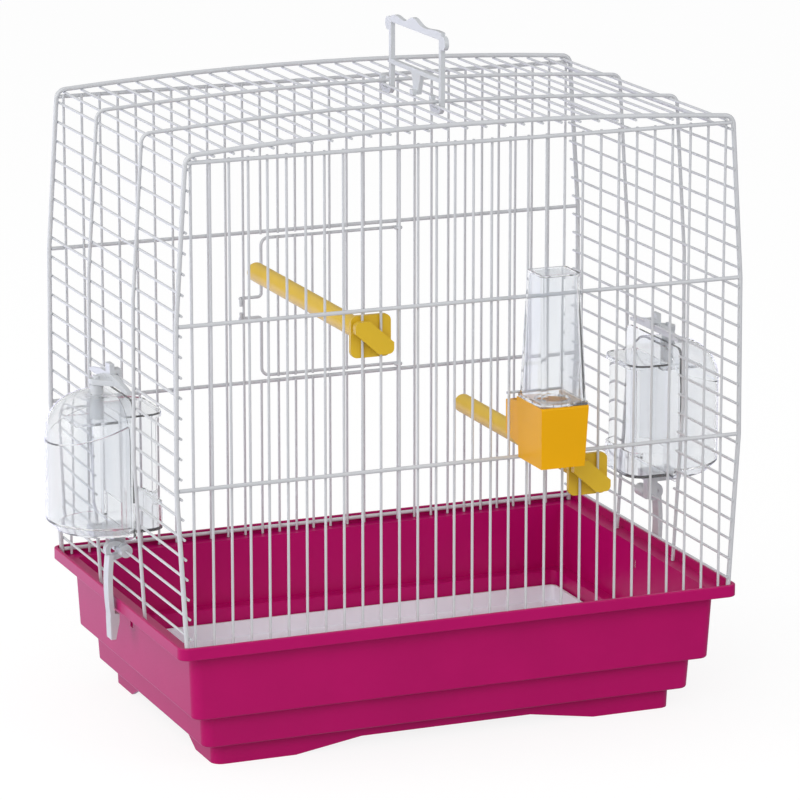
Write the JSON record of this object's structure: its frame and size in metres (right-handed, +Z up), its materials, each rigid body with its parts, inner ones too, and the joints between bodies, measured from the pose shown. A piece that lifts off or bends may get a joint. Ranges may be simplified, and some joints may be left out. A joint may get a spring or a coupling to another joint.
{
  "type": "bird cage",
  "caption": "Wire bird cage with an arched roof on a stepped plastic base, with turning clear seed feeders, a bottle drinker, perches, a rear door, side clips and a carry handle.",
  "frame": {"origin": "on the plane the feet stand on, under the middle of the whole object, drinker included", "axes": "+Z up, -Y towards the front grille and its drinker, +X to the right seen from the front"},
  "size_m": [0.4382, 0.2762, 0.4225],
  "materials": {
    "cage_wire": "gloss",
    "base_plastic": "gloss",
    "liner_plastic": "satin",
    "clear_plastic": "clear",
    "white_plastic": "gloss",
    "accent_plastic": "gloss"
  },
  "bodies": {
    "base": {"base_tray": "base_plastic"},
    "liner": {"liner_tray": "liner_plastic"},
    "cage": {"hoop_front": "cage_wire", "hoop_mid_front": "cage_wire", "hoop_mid_rear": "cage_wire", "hoop_rear": "cage_wire", "roof_wires": "cage_wire", "left_wall_wires": "cage_wire", "right_wall_wires": "cage_wire", "front_upright_wires": "cage_wire", "front_cross_bars": "cage_wire", "rear_upright_wires": "cage_wire", "rear_cross_bars": "cage_wire", "left_feeder_top_bracket": "white_plastic", "left_feeder_lower_socket": "white_plastic", "right_feeder_top_bracket": "white_plastic", "right_feeder_lower_socket": "white_plastic", "drinker_cup": "accent_plastic"},
    "door": {"door_frame": "cage_wire", "door_upright_wires": "cage_wire"},
    "left_clip": {"left_base_clip": "white_plastic"},
    "right_clip": {"right_base_clip": "white_plastic"},
    "left_feeder": {"left_feeder_hopper": "clear_plastic", "left_feeder_lid": "clear_plastic", "left_feeder_bowl": "clear_plastic", "left_feeder_pivot_post": "white_plastic"},
    "right_feeder": {"right_feeder_hopper": "clear_plastic", "right_feeder_lid": "clear_plastic", "right_feeder_bowl": "clear_plastic", "right_feeder_pivot_post": "white_plastic"},
    "bottle": {"drinker_bottle": "clear_plastic"},
    "upper_perch_body": {"upper_perch": "accent_plastic"},
    "lower_perch_body": {"lower_perch": "accent_plastic"},
    "handle": {"carry_handle": "white_plastic"}
  },
  "joints": [
    {"name": "cage_lift", "type": "slide", "parent": "base", "child": "cage", "axis": [0, 0, 1], "range_m": [0, 0.015]},
    {"name": "liner_lift", "type": "slide", "parent": "base", "child": "liner", "axis": [0, 0, 1], "range_m": [0, 0.06]},
    {"name": "left_clip_swing", "type": "hinge", "parent": "cage", "child": "left_clip", "pos_m": [-0.1734, 0.0151, 0.11194], "axis": [0, 1, 0], "range_deg": [0, 28]},
    {"name": "right_clip_swing", "type": "hinge", "parent": "cage", "child": "right_clip", "pos_m": [0.1734, 0.0191, 0.11194], "axis": [0, -1, 0], "range_deg": [0, 28]},
    {"name": "door_swing", "type": "hinge", "parent": "cage", "child": "door", "pos_m": [0.05215, 0.13214, 0.22465], "axis": [0, 0, -1], "range_deg": [0, 120]},
    {"name": "left_feeder_swivel", "type": "hinge", "parent": "cage", "child": "left_feeder", "pos_m": [-0.1878, 0.0171, 0.12744], "axis": [0, 0, 1], "range_deg": [0, 180]},
    {"name": "right_feeder_swivel", "type": "hinge", "parent": "cage", "child": "right_feeder", "pos_m": [0.1878, 0.0171, 0.12744], "axis": [0, 0, 1], "range_deg": [0, 180]},
    {"name": "bottle_lift", "type": "slide", "parent": "cage", "child": "bottle", "axis": [0, 0, 1], "range_m": [0, 0.02]},
    {"name": "upper_perch_twist", "type": "hinge", "parent": "cage", "child": "upper_perch_body", "pos_m": [-0.05795, -0.09684, 0.2569], "axis": [0, 1, 0], "range_deg": [0, 48]},
    {"name": "lower_perch_twist", "type": "hinge", "parent": "cage", "child": "lower_perch_body", "pos_m": [0.08113, -0.09684, 0.1605], "axis": [0, 1, 0], "range_deg": [0, 48]},
    {"name": "handle_lift", "type": "slide", "parent": "cage", "child": "handle", "axis": [0, 0, 1], "range_m": [0, 0.0033]}
  ],
  "couplings": [
    {"joint": "left_clip_swing", "follows": "cage_lift", "rad_per_m": 31.416},
    {"joint": "right_clip_swing", "follows": "cage_lift", "rad_per_m": 31.416}
  ]
}
